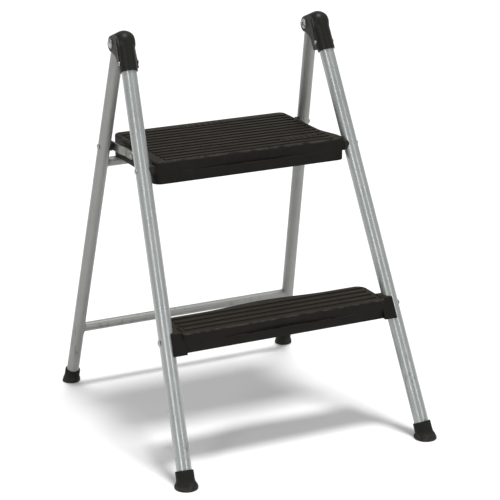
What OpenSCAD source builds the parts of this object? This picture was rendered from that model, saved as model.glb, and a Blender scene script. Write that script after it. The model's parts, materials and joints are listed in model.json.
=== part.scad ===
// Folding two-step stool: a tubular front frame that carries both steps, and a
// tubular rear frame that swings on hinges under two moulded caps. The upper
// step tips up on its front pivots, and two flat links tie it to the rear frame.
// Frame: +X to the right, +Y to the back, +Z up, origin on the floor under the
// middle of the feet. Sizes are in millimetres and stand for the open stool.

/* [Frame geometry] */
// Height of the fold hinge above the floor
hinge_z = 581; // [570:1:590]
// Half the distance between the two fold hinges
hinge_x = 160.5; // [158:0.5:164]
// Distance from the front leg's axis back to the hinge axis
hinge_offset = 24.3; // [24:0.1:26]
// Lean of the front frame from upright, open
front_lean = 25.5; // [25:0.1:26]
// Lean of the rear frame from upright, open
rear_lean = 14.5; // [14:0.1:15]
// Outward splay of each front leg
front_splay = 3.28; // [3:0.01:3.5]
// Outward splay of each rear leg
rear_splay = 3.08; // [3:0.01:3.5]

/* [Tubes] */
// Outside diameter of the front leg tube
front_tube_d = 22.2; // [21:0.1:23]
// Outside diameter of the rear leg tube
rear_tube_d = 19.05; // [18:0.05:19.5]
// Wall of the tubes
tube_wall = 1.2; // [1:0.1:2]
// Outside diameter of the rear crossbars
crossbar_d = 14.6; // [13:0.1:15]
// Height of the lower crossbar's axis above the floor
lower_bar_z = 98; // [90:1:110]

/* [Feet] */
// Diameter of a front foot where it meets the floor
front_foot_d = 34.5; // [32:0.5:36]
// Diameter of a rear foot where it meets the floor
rear_foot_d = 28.5; // [27:0.5:30]
// Wall of the foot's sleeve round the leg
foot_wall = 2.3; // [1.5:0.1:2.5]
// Height of a front foot along the leg
front_foot_h = 25; // [22:1:30]
// Height of a rear foot along the leg
rear_foot_h = 23; // [20:1:28]

/* [Upper step] */
// Height of the upper tread above the floor
upper_tread_z = 429; // [426:1:430]
// Depth of the upper step from front to back
upper_depth = 184; // [176:1:186]
// Half width of the upper step at its front corners
upper_front_half = 157; // [155:0.5:157]
// Half width of the upper step behind its flared front
upper_back_half = 146; // [145:0.5:148]
// Height of the upper step from tread to skirt edge
upper_skirt = 36; // [35:0.5:37]
// Height of the step's pivot below the tread
pivot_drop = 15; // [14:0.5:16]
// Number of raised ribs across the upper tread
upper_ribs = 12; // [8:1:12]
// Pitch of the ribs across the upper tread
upper_rib_pitch = 14.1; // [13:0.1:14.2]

/* [Lower step] */
// Height of the lower tread above the floor
lower_tread_z = 204; // [202:1:206]
// Half width of the lower step between its saddles
lower_half = 167.5; // [165:0.5:168]
// Height of the lower step from tread to skirt edge
lower_skirt = 31; // [30:0.5:33]
// Depth of the lower step at its ends
lower_depth = 74; // [72:1:76]
// How far the lower step's back edge bows out in the middle
lower_bow = 8; // [4:1:10]
// Number of raised ribs across the lower tread
lower_ribs = 4; // [2:1:4]
// Pitch of the ribs across the lower tread
lower_rib_pitch = 15.5; // [12:0.1:16]

/* [Links and rivets] */
// Distance from the step's pivot to the link's front rivet
link_reach = 84.6; // [84:0.1:86]
// Distance down the rear leg from the hinge to the link's rear rivet
link_drop = 172; // [171:0.5:173]
// Height of the flat link bar
link_h = 12.7; // [12:0.1:13]
// Thickness of the flat link bar
link_t = 2.5; // [2:0.1:2.5]
// Half the distance between the links' inner faces at their front ends
link_x = 151.8; // [151.5:0.1:152]
// How far the links bend outwards towards their rear ends
link_joggle = 3.2; // [2:0.1:3.3]
// Radius of the hinge and pivot rivets
pin_r = 3; // [2.5:0.1:3.2]

/* [Hidden] */
$fn = 64;

running = 0.05;        // radial clearance of a turning fit
clear = 0.3;           // gap between faces that slide past each other
big = 400;             // longer than any local cut needs
front_r = front_tube_d / 2;
rear_r = rear_tube_d / 2;
wall = 2.6;            // wall of the moulded steps
rib_t = 1.8;           // thickness of the ribs under the steps
rib_h = 1.4;           // height of the raised tread ribs
rib_w = 6.6;           // width of the raised tread ribs
left = -1;
right = 1;

// The front leg's axis meets the hinge's normal at this height above the hinge.
front_top_z = hinge_z + hinge_offset * sin(front_lean);
front_run = front_top_z * tan(front_lean);
rear_run = hinge_z * tan(rear_lean);
// Places the feet evenly in front of and behind the origin.
hinge_y = ((front_foot_d - rear_foot_d) / 2 + hinge_offset * cos(front_lean)
           + front_run - rear_run) / 2;
front_top_y = hinge_y - hinge_offset * cos(front_lean);
front_foot_y = front_top_y - front_run;
rear_foot_y = hinge_y + rear_run;
front_len = front_top_z / cos(front_lean);
rear_len = hinge_z / cos(rear_lean);

// Distance down the front frame from its top to a height above the floor
function front_down(z) = (front_top_z - z) / cos(front_lean);
function front_y(z) = front_top_y - (front_top_z - z) * tan(front_lean);
function front_x(down) = hinge_x + down * tan(front_splay);
function rear_x(down) = hinge_x + down * tan(rear_splay);
// Points on an arc of radius r about (x, y), from angle a0 to a1
function arc(x, y, r, a0, a1, steps = 8) =
    [for (i = [0:steps]) let (a = a0 + (a1 - a0) * i / steps) [x + r * cos(a), y + r * sin(a)]];
// The same outline, mirrored and run backwards, without the points on the middle line
function mirrored(points) =
    [for (i = [len(points) - 1:-1:0]) if (points[i][0] > 0.01) [-points[i][0], points[i][1]]];

pivot_z = upper_tread_z - pivot_drop;
pivot_down = front_down(pivot_z);
pivot_y = front_y(pivot_z);
link_rear_y = hinge_y + link_drop * sin(rear_lean);
link_rear_z = hinge_z - link_drop * cos(rear_lean);
link_angle = atan2(link_rear_z - pivot_z, link_rear_y - pivot_y);
link_span = norm([link_rear_y - pivot_y, link_rear_z - pivot_z]) - link_reach;
link_front_y = pivot_y + link_reach * cos(link_angle);
link_front_z = pivot_z + link_reach * sin(link_angle);
link_rear_x = link_x + link_joggle;
skirt_z = upper_tread_z - upper_skirt;
cap_down = 36.3;       // small cap rivet, below the top of the front frame
head_t = 2.2;
head_r = 6.2;
cheek_half = 13;       // half the width across a cap's cheeks
washer_t = 0.8;
sleeve_r = 13.3;       // outside radius of a cap's sleeve round the front leg
// How far a flat rivet head of radius r stands off the side of a leg that leans outwards
function seat_gap(r, splay) = r * tan(splay) + 0.1;

// Places children in the plane of the front frame: +Z up the frame, +Y behind it
module front_frame() {
    translate([0, front_top_y, front_top_z]) rotate([-front_lean, 0, 0]) children();
}

// Places children in the plane of the rear frame, with the hinge at its origin
module rear_frame() {
    translate([0, hinge_y, hinge_z]) rotate([rear_lean, 0, 0]) children();
}

// Places children on the axis of one front leg, +Z up the leg
module on_front_leg(side) {
    front_frame() translate([side * hinge_x, 0, 0]) rotate([0, -side * front_splay, 0]) children();
}

// Places children on the axis of one rear leg, +Z up the leg
module on_rear_leg(side) {
    rear_frame() translate([side * hinge_x, 0, 0]) rotate([0, -side * rear_splay, 0]) children();
}

// A round bar along X from x0 to x1 on the given side
module bar_x(side, x0, x1, r) {
    translate([side * x0, 0, 0]) rotate([0, side * 90, 0]) cylinder(h = x1 - x0, r = r);
}

// A rivet head that stands outwards from x along X, away from or towards the middle
module head_x(side, x, r, t, outward = true) {
    turn = outward ? side * 90 : -side * 90;
    translate([side * x, 0, 0]) rotate([0, turn, 0]) {
        cylinder(h = t * 0.4, r = r);
        translate([0, 0, t * 0.4]) cylinder(h = t * 0.6, r1 = r, r2 = r * 0.72);
    }
}

// ---- Front frame -------------------------------------------------------------

module front_leg(side) {
    top = -9;
    color("silver") difference() {
        on_front_leg(side) translate([0, 0, -front_len / cos(front_splay) + 8])
            cylinder(h = front_len / cos(front_splay) - 8 + top, r = front_r);
        on_front_leg(side) translate([0, 0, -front_len - 20])
            cylinder(h = front_len + 60, r = front_r - tube_wall);
        front_frame() translate([0, 0, -cap_down]) bar_x(side, 100, 200, 2);
        translate([0, pivot_y, pivot_z]) bar_x(side, 100, 200, pin_r);
        lower_rivet_line() bar_x(side, 150, 210, 2.5);
    }
}

// A rubber tip: a sleeve round the leg, on a flared base that sits flat on the floor
module tilted_foot(place, turns, base_r, bore_r, height, tip) {
    lip = 2;
    sleeve_r = bore_r + foot_wall;
    translate(place) difference() {
        union() {
            rotate_extrude() polygon(concat(
                [[0, 0]],
                arc(base_r - lip, lip, lip, -90, 20),
                [[sleeve_r + 0.6, 9.5], [sleeve_r - 1, 13], [0, 13]]));
            intersection() {
                rotate([turns[0], 0, 0]) rotate([0, turns[1], 0])
                    translate([0, 0, -10]) cylinder(h = height + 10, r = sleeve_r);
                translate([-50, -50, 3]) cube([100, 100, 100]);
            }
        }
        rotate([turns[0], 0, 0]) rotate([0, turns[1], 0])
            translate([0, 0, tip]) cylinder(h = 100, r = bore_r);
    }
}

module front_foot(side) {
    color("black") tilted_foot([side * front_x(front_len), front_foot_y, 0],
        [-front_lean, -side * front_splay], front_foot_d / 2, front_r + running, front_foot_h, 7.9);
}

module hinge_cap(side) {
    gap = 10.6;             // half the slot that takes the rear leg
    dome = [4.93, -5.5];
    dome_r = 18.3;
    cheek_r = 13;
    bottom = -50;
    reach = norm([hinge_offset - dome[0], -dome[1]]);
    heading = atan2(-dome[1], hinge_offset - dome[0]);
    up = heading + acos((dome_r - cheek_r) / reach);
    open_turn = front_lean + rear_lean;
    slot_r = cheek_r - 2.1;
    color("black") difference() {
        union() {
            on_front_leg(side) translate([0, 0, bottom]) cylinder(h = 37, r = sleeve_r);
            // side outline: dome, cheek and the web below them, with a hollow sweep
            front_frame() translate([side * hinge_x, 0, 0]) rotate([90, 0, 90])
                linear_extrude(height = 2 * cheek_half, center = true) difference() {
                    union() {
                        translate(dome) circle(r = dome_r);
                        translate([hinge_offset, 0]) circle(r = cheek_r);
                        polygon([dome + dome_r * [cos(up), sin(up)],
                                 [hinge_offset + cheek_r * cos(up), cheek_r * sin(up)],
                                 [hinge_offset, 0], [hinge_offset, -cheek_r], [22, -16],
                                 [sleeve_r - 1, -cap_down], [0, -cap_down], dome]);
                    }
                    translate([sleeve_r + 25, -cap_down]) circle(r = 25);
                }
        }
        on_front_leg(side) translate([0, 0, -80]) cylinder(h = 71.2, r = front_r + running);
        // slot for the rear leg, from open to folded
        front_frame() translate([side * hinge_x, 0, 0]) rotate([90, 0, 90])
            linear_extrude(height = 2 * gap, center = true) union() {
                translate([hinge_offset, 0]) circle(r = slot_r);
                polygon([[hinge_offset - slot_r, 0], [hinge_offset - slot_r, -80],
                         [hinge_offset + 90, -80],
                         [hinge_offset + slot_r * cos(open_turn) + 90 * sin(open_turn),
                          slot_r * sin(open_turn) - 90 * cos(open_turn)],
                         [hinge_offset + slot_r * cos(open_turn), slot_r * sin(open_turn)]]);
            }
        front_frame() translate([0, hinge_offset, 0]) bar_x(side, 120, 200, pin_r);
        front_frame() translate([0, 0, -cap_down]) bar_x(side, 120, 200, 2);
    }
}

module cap_rivet(side) {
    outer = front_x(cap_down) + sleeve_r + seat_gap(3.4, front_splay);
    inner = hinge_x - cheek_half - 0.1;
    color("gainsboro") front_frame() translate([0, 0, -cap_down]) {
        bar_x(side, inner - 0.4, outer + 0.4, 2);
        head_x(side, outer, 3.4, 1);
        head_x(side, inner, 3.4, 1, false);
    }
}

module hinge_rivet(side) {
    seat = cheek_half + washer_t;
    color("gainsboro") front_frame() translate([0, hinge_offset, 0]) {
        bar_x(side, hinge_x - seat - 0.5, hinge_x + seat + 0.5, pin_r);
        head_x(side, hinge_x + seat, head_r, head_t);
        head_x(side, hinge_x - seat, head_r, 2, false);
    }
}

// Thin washers under the heads of both hinge rivets
module hinge_washers() {
    color("silver") front_frame() translate([0, hinge_offset, 0]) for (side = [left, right]) {
        for (x = [hinge_x - cheek_half - washer_t, hinge_x + cheek_half]) {
            difference() {
                bar_x(side, x, x + washer_t, 7.4);
                bar_x(side, x - 1, x + 2, pin_r);
            }
        }
    }
}

module pivot_rivet(side) {
    outer = front_x(pivot_down) + front_r + seat_gap(6, front_splay);
    inner = upper_front_half - 9.5;
    color("gainsboro") translate([0, pivot_y, pivot_z]) {
        bar_x(side, inner - 0.6, outer + 0.8, pin_r);
        head_x(side, outer, 6, 1.6);
        head_x(side, inner, 5.5, 1.6, false);
    }
}

// Black collar between the step's end and the front leg, shaped to the tube
module pivot_spacer(side) {
    color("black") difference() {
        translate([0, pivot_y, pivot_z]) bar_x(side, upper_front_half + 0.1 + clear, 167, 9);
        on_front_leg(side) translate([0, 0, -big]) cylinder(h = big, r = front_r + running);
        translate([0, pivot_y, pivot_z]) bar_x(side, 140, 180, pin_r);
    }
}

// ---- Lower step --------------------------------------------------------------

lower_mid_z = lower_tread_z - lower_skirt / 2;
lower_front_y = front_y(lower_mid_z) - 16.6;
lower_back_y = lower_front_y + lower_depth;
saddle_r = 14.6;

module lower_rivet_line() {
    translate([0, front_y(lower_mid_z), lower_mid_z]) children();
}

// Half outline, from the middle of the back to the middle of the front
function lower_outline(inset) =
    let (half = lower_half - inset, back = lower_back_y - inset, front = lower_front_y + inset,
         corner = 16 - inset, nose = 6 - inset / 2)
    concat(
        [for (i = [0:10]) let (t = i / 10) [t * (half - 60), back + lower_bow * (1 + cos(180 * t)) / 2]],
        arc(half - corner, back - corner, corner, 90, 0),
        arc(half - nose, front + nose, nose, 0, -90, 5));

module lower_plan(inset) {
    points = lower_outline(inset);
    polygon(concat(points, mirrored(points)));
}

module lower_step() {
    bottom = lower_tread_z - lower_skirt;
    plate = lower_tread_z - rib_h;
    color("black") difference() {
        union() {
            difference() {
                translate([0, 0, bottom]) linear_extrude(height = lower_skirt - rib_h) lower_plan(0);
                translate([0, 0, bottom - 1])
                    linear_extrude(height = plate - bottom - 3 + 1) lower_plan(wall);
            }
            // webs under the tread, from wall to wall
            for (i = [-3:3])
                translate([i * 43 - rib_t / 2, lower_front_y + 1, bottom + 6])
                    cube([rib_t, lower_depth - 2, plate - bottom - 7]);
            for (y = [24, 47])
                translate([-lower_half + 1.3, lower_front_y + y, bottom + 6])
                    cube([2 * lower_half - 2.6, rib_t, plate - bottom - 7]);
            for (i = [0:lower_ribs - 1])
                translate([-lower_half + 9, lower_front_y + 13.5 + i * lower_rib_pitch, plate - 0.5])
                    cube([2 * lower_half - 18, rib_w, rib_h + 0.5]);
            for (side = [left, right]) saddle(side);
        }
        for (side = [left, right])
            on_front_leg(side) translate([0, 0, -front_len]) cylinder(h = front_len, r = front_r + running);
        lower_rivet_line() bar_x(left, 150, 200, 2.5);
        lower_rivet_line() bar_x(right, 150, 200, 2.5);
        // shallow hollow along the front face
        translate([0, lower_front_y + 1.2, 0]) rotate([90, 0, 0]) linear_extrude(height = 5)
            face_hollow(110, lower_mid_z - 2, 8);
    }
}

// A long lens with a flat lower edge, drawn in the plane of the front face
module face_hollow(half, z, rise) {
    r = (half * half + rise * rise) / (2 * rise);
    span = asin(half / r);
    polygon(concat([[-half, z], [half, z]], arc(0, z + rise - r, r, 90 - span, 90 + span, 16)));
}

// The end of the lower step, wrapped round the inner side of the leg
module saddle(side) {
    intersection() {
        on_front_leg(side) translate([0, 0, -front_len]) intersection() {
            union() {
                cylinder(h = front_len, r = saddle_r);
                translate([side > 0 ? -26 : 0, -saddle_r, 0]) cube([26, 2 * saddle_r, front_len]);
            }
            translate([side > 0 ? -46 : 3.5, -50, 0]) cube([42.5, 56, front_len]);
        }
        translate([-big, -big, lower_tread_z - lower_skirt]) cube([2 * big, 2 * big, lower_skirt - rib_h]);
        translate([side > 0 ? lower_half - wall - 2 : -big - lower_half + wall + 2, -big, 0])
            cube([big, 2 * big, big]);
    }
}

module lower_step_rivet(side) {
    outer = front_x(front_down(lower_mid_z)) + front_r + seat_gap(4.6, front_splay);
    inner = lower_half - wall - 2;
    color("gainsboro") lower_rivet_line() {
        bar_x(side, inner - 0.5, outer + 0.6, 2.5);
        head_x(side, outer, 4.6, 1.6);
        head_x(side, inner, 4.6, 1.4, false);
    }
}

// ---- Rear frame --------------------------------------------------------------

module rear_leg(side) {
    color("silver") difference() {
        on_rear_leg(side) translate([0, 0, -rear_len / cos(rear_splay) + 7])
            cylinder(h = rear_len / cos(rear_splay) - 7 + 9, r = rear_r);
        on_rear_leg(side) translate([0, 0, -rear_len - 20])
            cylinder(h = rear_len + 60, r = rear_r - tube_wall);
        // rounded top, so that the tube turns inside the cap
        rear_frame() difference() {
            translate([side * hinge_x - 20, -20, 0]) cube([40, 40, 20]);
            translate([0, 0, 0]) bar_x(side, hinge_x - 21, hinge_x + 21, 10.3);
        }
        rear_frame() bar_x(side, 120, 200, 4.5);
        rear_frame() translate([0, 0, -link_drop]) bar_x(side, 120, 200, 2.5);
    }
}

module rear_foot(side) {
    color("black") tilted_foot([side * rear_x(rear_len), rear_foot_y, 0],
        [rear_lean, -side * rear_splay], rear_foot_d / 2, rear_r + running, rear_foot_h, 6.9);
}

// A round bar between the rear legs, with flared ends that meet the tubes
module crossbar(down, behind, flare, below_only) {
    reach = rear_x(down);
    bar_r = crossbar_d / 2;
    difference() {
        rear_frame() translate([0, behind, -down]) {
            bar_x(right, -reach, reach, bar_r);
            intersection() {
                for (side = [left, right]) translate([side * (reach - rear_r - flare + 3), 0, 0])
                    rotate([0, side * 90, 0]) rotate_extrude() polygon(concat(
                        [[0, 0]], arc(bar_r + flare, 0, flare, 180, 90), [[bar_r + flare, flare + 4],
                        [0, flare + 4]]));
                translate([-big / 2, -bar_r - 0.5, -40]) cube([big, crossbar_d + 1, below_only ? 40 : 80]);
            }
        }
        for (side = [left, right])
            on_rear_leg(side) translate([0, 0, -rear_len]) cylinder(h = rear_len + 9, r = rear_r);
        // the flares stop at the outer side of the legs
        for (side = [left, right])
            rear_frame() translate([side > 0 ? reach : -reach - 40, -50, -down - 50]) cube([40, 100, 100]);
    }
}

upper_bar_z = skirt_z - crossbar_d / 2;
upper_bar_down = (hinge_z - upper_bar_z) / cos(rear_lean) + 6 * tan(rear_lean);
lower_bar_down = (hinge_z - lower_bar_z) / cos(rear_lean);

module upper_crossbar() {
    color("silver") crossbar(upper_bar_down, 6, 8, true);
}

module lower_crossbar() {
    color("silver") crossbar(lower_bar_down, 0, 4, false);
}

// Sleeve inside the top of the rear leg that turns on the hinge rivet
module hinge_bush(side) {
    color("dimgray") rear_frame() difference() {
        bar_x(side, hinge_x - 10.2, hinge_x + 10.2, 4.5);
        bar_x(side, hinge_x - 20, hinge_x + 20, pin_r + running);
    }
}

module link_rear_rivet(side) {
    outer = rear_x(link_drop) + rear_r + seat_gap(5, rear_splay);
    color("gainsboro") rear_frame() translate([0, 0, -link_drop]) {
        bar_x(side, link_rear_x - 1, outer + 0.8, 2.5);
        head_x(side, outer, 5, 1.6);
        head_x(side, link_rear_x - 0.1, 4.6, 1.2, false);
    }
}

// Black collar that holds the link clear of the rear leg
module link_spacer(side) {
    color("black") difference() {
        rear_frame() translate([0, 0, -link_drop]) bar_x(side, link_rear_x + link_t + clear, 166, 8);
        on_rear_leg(side) translate([0, 0, -big]) cylinder(h = big, r = rear_r + running);
        rear_frame() translate([0, 0, -link_drop]) bar_x(side, 140, 180, 2.5);
    }
}

// ---- Upper step --------------------------------------------------------------

upper_front_y = pivot_y - 11;
upper_back_y = upper_front_y + upper_depth;
flare_end_y = upper_front_y + 64;
stud_in = upper_back_half - 5.5;

// Half outline, from the middle of the back to the middle of the front
function upper_outline(inset) =
    let (corner = 11 - inset, nose = 12 - inset,
         half = upper_back_half - inset, front_half = upper_front_half - inset,
         nose_end = upper_front_y + inset + nose,
         bend = [half + 0.2 * (front_half - half), (flare_end_y + nose_end) / 2])
    concat(
        arc(half - corner, upper_back_y - inset - corner, corner, 90, 0),
        [[half, flare_end_y], bend, [front_half, nose_end + 1]],
        arc(front_half - nose, nose_end, nose, 0, -90, 6));

module upper_plan(inset) {
    points = upper_outline(inset);
    polygon(concat(points, mirrored(points)));
}

module upper_step() {
    plate = upper_tread_z - rib_h;
    boss_in = upper_front_half - 9.2;
    color("black") difference() {
        union() {
            difference() {
                translate([0, 0, skirt_z]) linear_extrude(height = upper_skirt - rib_h) upper_plan(0);
                translate([0, 0, skirt_z - 1])
                    linear_extrude(height = plate - skirt_z - 3 + 1) upper_plan(wall);
            }
            // webs under the tread, from wall to wall
            for (i = [-3:3])
                translate([i * 43 - rib_t / 2, upper_front_y + 1, skirt_z + 6])
                    cube([rib_t, upper_depth - 2, plate - skirt_z - 7]);
            for (y = [44:44:140])
                translate([-upper_back_half + 1.3, upper_front_y + y, skirt_z + 6])
                    cube([2 * upper_back_half - 2.6, rib_t, plate - skirt_z - 7]);
            for (i = [0:upper_ribs - 1])
                translate([-upper_back_half + 7, upper_front_y + 4.6 + i * upper_rib_pitch, plate - 0.5])
                    cube([2 * upper_back_half - 14, rib_w, rib_h + 0.5]);
            // bosses for the pivot rivets and for the link studs
            for (side = [left, right]) {
                translate([0, pivot_y, pivot_z]) bar_x(side, boss_in, upper_front_half + 0.1, 9);
                translate([0, link_front_y, link_front_z]) bar_x(side, stud_in, link_x - clear, 8);
            }
        }
        for (side = [left, right]) {
            translate([0, pivot_y, pivot_z]) bar_x(side, 120, 170, pin_r + running);
            translate([0, link_front_y, link_front_z]) bar_x(side, 120, 170, 2.5);
        }
        translate([0, upper_front_y + 1.2, 0]) rotate([90, 0, 0]) linear_extrude(height = 5)
            face_hollow(104, skirt_z + 14, 8);
    }
}

// Stud through the step's side that the link's front end is riveted against
module link_stud(side) {
    color("gainsboro") translate([0, link_front_y, link_front_z]) {
        bar_x(side, stud_in - 0.5, link_x - clear, 2.5);
        head_x(side, stud_in, 5, 1.4, false);
    }
}

// ---- Links -------------------------------------------------------------------

module link(side) {
    bend_start = 22;
    bend_end = 38;
    color("darkgray") difference() {
        translate([0, link_front_y, link_front_z]) rotate([link_angle, 0, 0]) intersection() {
            union() {
                bar_x(side, 140, 170, link_h / 2);
                translate([0, link_span, 0]) bar_x(side, 140, 170, link_h / 2);
                translate([side > 0 ? 140 : -170, 0, -link_h / 2]) cube([30, link_span, link_h]);
            }
            // seen from above, the flat bar bends outwards between its two ends
            translate([0, 0, -link_h]) linear_extrude(height = 2 * link_h) polygon([
                for (p = [[0, -10], [0, bend_start], [link_joggle, bend_end], [link_joggle, link_span + 10],
                          [link_joggle + link_t, link_span + 10], [link_joggle + link_t, bend_end],
                          [link_t, bend_start], [link_t, -10]])
                    [side * (link_x + p[0]), p[1]]]);
        }
        rear_frame() translate([0, 0, -link_drop]) bar_x(side, 140, 180, 2.5 + running);
        translate([0, link_front_y, link_front_z]) bar_x(side, 140, 180, 2.5);
    }
}

module link_front_rivet(side) {
    color("gainsboro") translate([0, link_front_y, link_front_z]) {
        bar_x(side, link_x, link_x + link_t + 0.4, 2.5);
        head_x(side, link_x + link_t, 4.4, 1);
    }
}

front_leg(left);  // front_leg_left
front_leg(right);  // front_leg_right
front_foot(left);  // front_foot_left
front_foot(right);  // front_foot_right
hinge_cap(left);  // hinge_cap_left
hinge_cap(right);  // hinge_cap_right
cap_rivet(left);  // cap_rivet_left
cap_rivet(right);  // cap_rivet_right
hinge_rivet(left);  // hinge_rivet_left
hinge_rivet(right);  // hinge_rivet_right
hinge_washers();
pivot_rivet(left);  // pivot_rivet_left
pivot_rivet(right);  // pivot_rivet_right
pivot_spacer(left);  // pivot_spacer_left
pivot_spacer(right);  // pivot_spacer_right
lower_step();
lower_step_rivet(left);  // lower_step_rivet_left
lower_step_rivet(right);  // lower_step_rivet_right
rear_leg(left);  // rear_leg_left
rear_leg(right);  // rear_leg_right
rear_foot(left);  // rear_foot_left
rear_foot(right);  // rear_foot_right
upper_crossbar();
lower_crossbar();
hinge_bush(left);  // hinge_bush_left
hinge_bush(right);  // hinge_bush_right
link_rear_rivet(left);  // link_rear_rivet_left
link_rear_rivet(right);  // link_rear_rivet_right
link_spacer(left);  // link_spacer_left
link_spacer(right);  // link_spacer_right
upper_step();
link_stud(left);  // link_stud_left
link_stud(right);  // link_stud_right
link(left);  // link_left
link(right);  // link_right
link_front_rivet(left);  // link_front_rivet_left
link_front_rivet(right);  // link_front_rivet_right
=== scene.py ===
"""Looks for the folding two-step stool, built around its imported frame.

The tubes, bars, links, washers and spacers keep their frame shapes and get their
finishes here. The moulded steps, the hinge caps, the rubber feet and every rivet
are modelled again in detail, and each rides on the body that it belongs to.
Lengths are in metres unless a name says otherwise.
"""

import json
import logging
import math
from dataclasses import dataclass, field
from enum import Enum
from typing import Sequence

import bmesh
import bpy
from mathutils import Matrix, Vector


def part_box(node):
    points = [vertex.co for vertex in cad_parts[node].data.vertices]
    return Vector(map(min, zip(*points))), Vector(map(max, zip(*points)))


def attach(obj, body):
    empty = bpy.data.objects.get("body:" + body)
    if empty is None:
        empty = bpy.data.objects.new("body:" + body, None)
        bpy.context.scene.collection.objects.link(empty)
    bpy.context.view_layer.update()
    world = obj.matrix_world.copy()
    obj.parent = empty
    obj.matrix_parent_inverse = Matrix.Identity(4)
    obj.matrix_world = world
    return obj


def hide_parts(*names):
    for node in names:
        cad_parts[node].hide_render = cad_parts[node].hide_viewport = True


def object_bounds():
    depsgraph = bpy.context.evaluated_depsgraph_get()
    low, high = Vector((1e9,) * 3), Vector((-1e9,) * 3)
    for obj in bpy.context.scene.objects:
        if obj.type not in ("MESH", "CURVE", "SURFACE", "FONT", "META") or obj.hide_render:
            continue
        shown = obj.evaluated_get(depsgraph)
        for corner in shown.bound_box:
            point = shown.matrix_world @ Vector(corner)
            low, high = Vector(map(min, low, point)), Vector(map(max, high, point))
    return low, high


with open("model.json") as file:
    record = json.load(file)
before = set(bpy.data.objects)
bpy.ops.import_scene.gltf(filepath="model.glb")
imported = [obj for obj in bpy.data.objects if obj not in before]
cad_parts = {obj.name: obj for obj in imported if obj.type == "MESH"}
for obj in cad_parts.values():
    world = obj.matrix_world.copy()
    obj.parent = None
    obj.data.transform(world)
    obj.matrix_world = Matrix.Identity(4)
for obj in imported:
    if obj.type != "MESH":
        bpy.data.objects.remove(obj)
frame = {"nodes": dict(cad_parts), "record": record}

CAD_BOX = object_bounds()
MM = 0.001
LOG = logging.getLogger("stool")

Ring = list[Vector]


class Side(Enum):
    """The two sides of the stool, with the sign of X on each."""

    LEFT = -1
    RIGHT = 1

    @property
    def word(self) -> str:
        """The side's name as the frame's nodes spell it."""
        return self.name.lower()


class Head(Enum):
    """The two kinds of rivet head."""

    DOME = "dome"
    EYELET = "eyelet"


# ---- Places taken from the frame --------------------------------------------------


@dataclass(frozen=True)
class Skeleton:
    """The lines and points of the open stool that every piece is placed by."""

    hinge: Vector
    hinge_x: float
    pivot: Vector
    link_pin: Vector
    front_foot: Vector
    rear_foot: Vector

    @classmethod
    def from_frame(cls, record: dict) -> "Skeleton":
        """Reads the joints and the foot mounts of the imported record.

        Args:
            record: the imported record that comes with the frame.

        Returns:
            The skeleton of the open stool.
        """
        joints = {j["name"]: Vector(j["pos_m"]) for j in record["behaviour"]["joints"]}
        mounts = {m["name"]: Vector(m["pos_m"]) for m in record["mounts"]}
        low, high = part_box("hinge_bush_right")
        return cls(
            hinge=joints["frame_fold"],
            hinge_x=(low.x + high.x) / 2,
            pivot=joints["step_tilt"],
            link_pin=joints["link_right_swing"],
            front_foot=mounts["foot_front_right"],
            rear_foot=mounts["foot_rear_right"],
        )

    @property
    def front_lean(self) -> float:
        """Lean of the front frame from upright, in radians."""
        return math.atan2(self.pivot.y - self.front_foot.y, self.pivot.z)

    @property
    def rear_lean(self) -> float:
        """Lean of the rear frame from upright, in radians."""
        return math.atan2(self.rear_foot.y - self.hinge.y, self.hinge.z)

    @property
    def front_top(self) -> Vector:
        """Point of the front frame's plane that is level with the hinge along the frame."""
        up = Vector((0, math.sin(self.front_lean), math.cos(self.front_lean)))
        foot = Vector((0, self.front_foot.y, 0))
        return foot + up * (self.hinge - foot).dot(up)

    @property
    def front_length(self) -> float:
        """Length of the front frame in its own plane, from the floor to its top point."""
        return (self.front_top - Vector((0, self.front_foot.y, 0))).length

    @property
    def rear_length(self) -> float:
        """Length of the rear frame in its own plane, from the floor to the hinge."""
        return (self.hinge - Vector((0, self.rear_foot.y, 0))).length

    @property
    def hinge_reach(self) -> float:
        """Distance from the front frame's plane back to the hinge."""
        return (self.hinge - self.front_top).length

    @property
    def front_splay(self) -> float:
        """Outward splay of a front leg, in radians."""
        return math.atan2(self.front_foot.x - self.hinge_x, self.front_length)

    @property
    def rear_splay(self) -> float:
        """Outward splay of a rear leg, in radians."""
        return math.atan2(self.rear_foot.x - self.hinge_x, self.rear_length)

    def front_plane(self) -> Matrix:
        """Placement of the front frame's plane: Z up the frame, Y behind it."""
        return Matrix.Translation(self.front_top) @ Matrix.Rotation(-self.front_lean, 4, "X")

    def rear_plane(self) -> Matrix:
        """Placement of the rear frame's plane, with the hinge at its origin."""
        return Matrix.Translation(self.hinge) @ Matrix.Rotation(self.rear_lean, 4, "X")

    def front_leg(self, side: Side) -> Matrix:
        """Placement of one front leg's axis, with Z up the leg."""
        shift = Matrix.Translation((side.value * self.hinge_x, 0, 0))
        return self.front_plane() @ shift @ Matrix.Rotation(-side.value * self.front_splay, 4, "Y")

    def rear_leg(self, side: Side) -> Matrix:
        """Placement of one rear leg's axis, with Z up the leg."""
        shift = Matrix.Translation((side.value * self.hinge_x, 0, 0))
        return self.rear_plane() @ shift @ Matrix.Rotation(-side.value * self.rear_splay, 4, "Y")


# ---- Mesh helpers -----------------------------------------------------------------


def arc(centre: tuple[float, float], radius: float, start: float, stop: float,
        steps: int) -> list[tuple[float, float]]:
    """Points on an arc in a plane.

    Args:
        centre: the arc's centre.
        radius: its radius.
        start: first angle in degrees.
        stop: last angle in degrees.
        steps: number of chords.

    Returns:
        The steps + 1 points from start to stop.
    """
    angles = [math.radians(start + (stop - start) * i / steps) for i in range(steps + 1)]
    return [(centre[0] + radius * math.cos(a), centre[1] + radius * math.sin(a)) for a in angles]


def smooth_step(value: float) -> float:
    """Eases a value from 0 to 1 with level ends."""
    t = min(1.0, max(0.0, value))
    return t * t * (3 - 2 * t)


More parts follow.
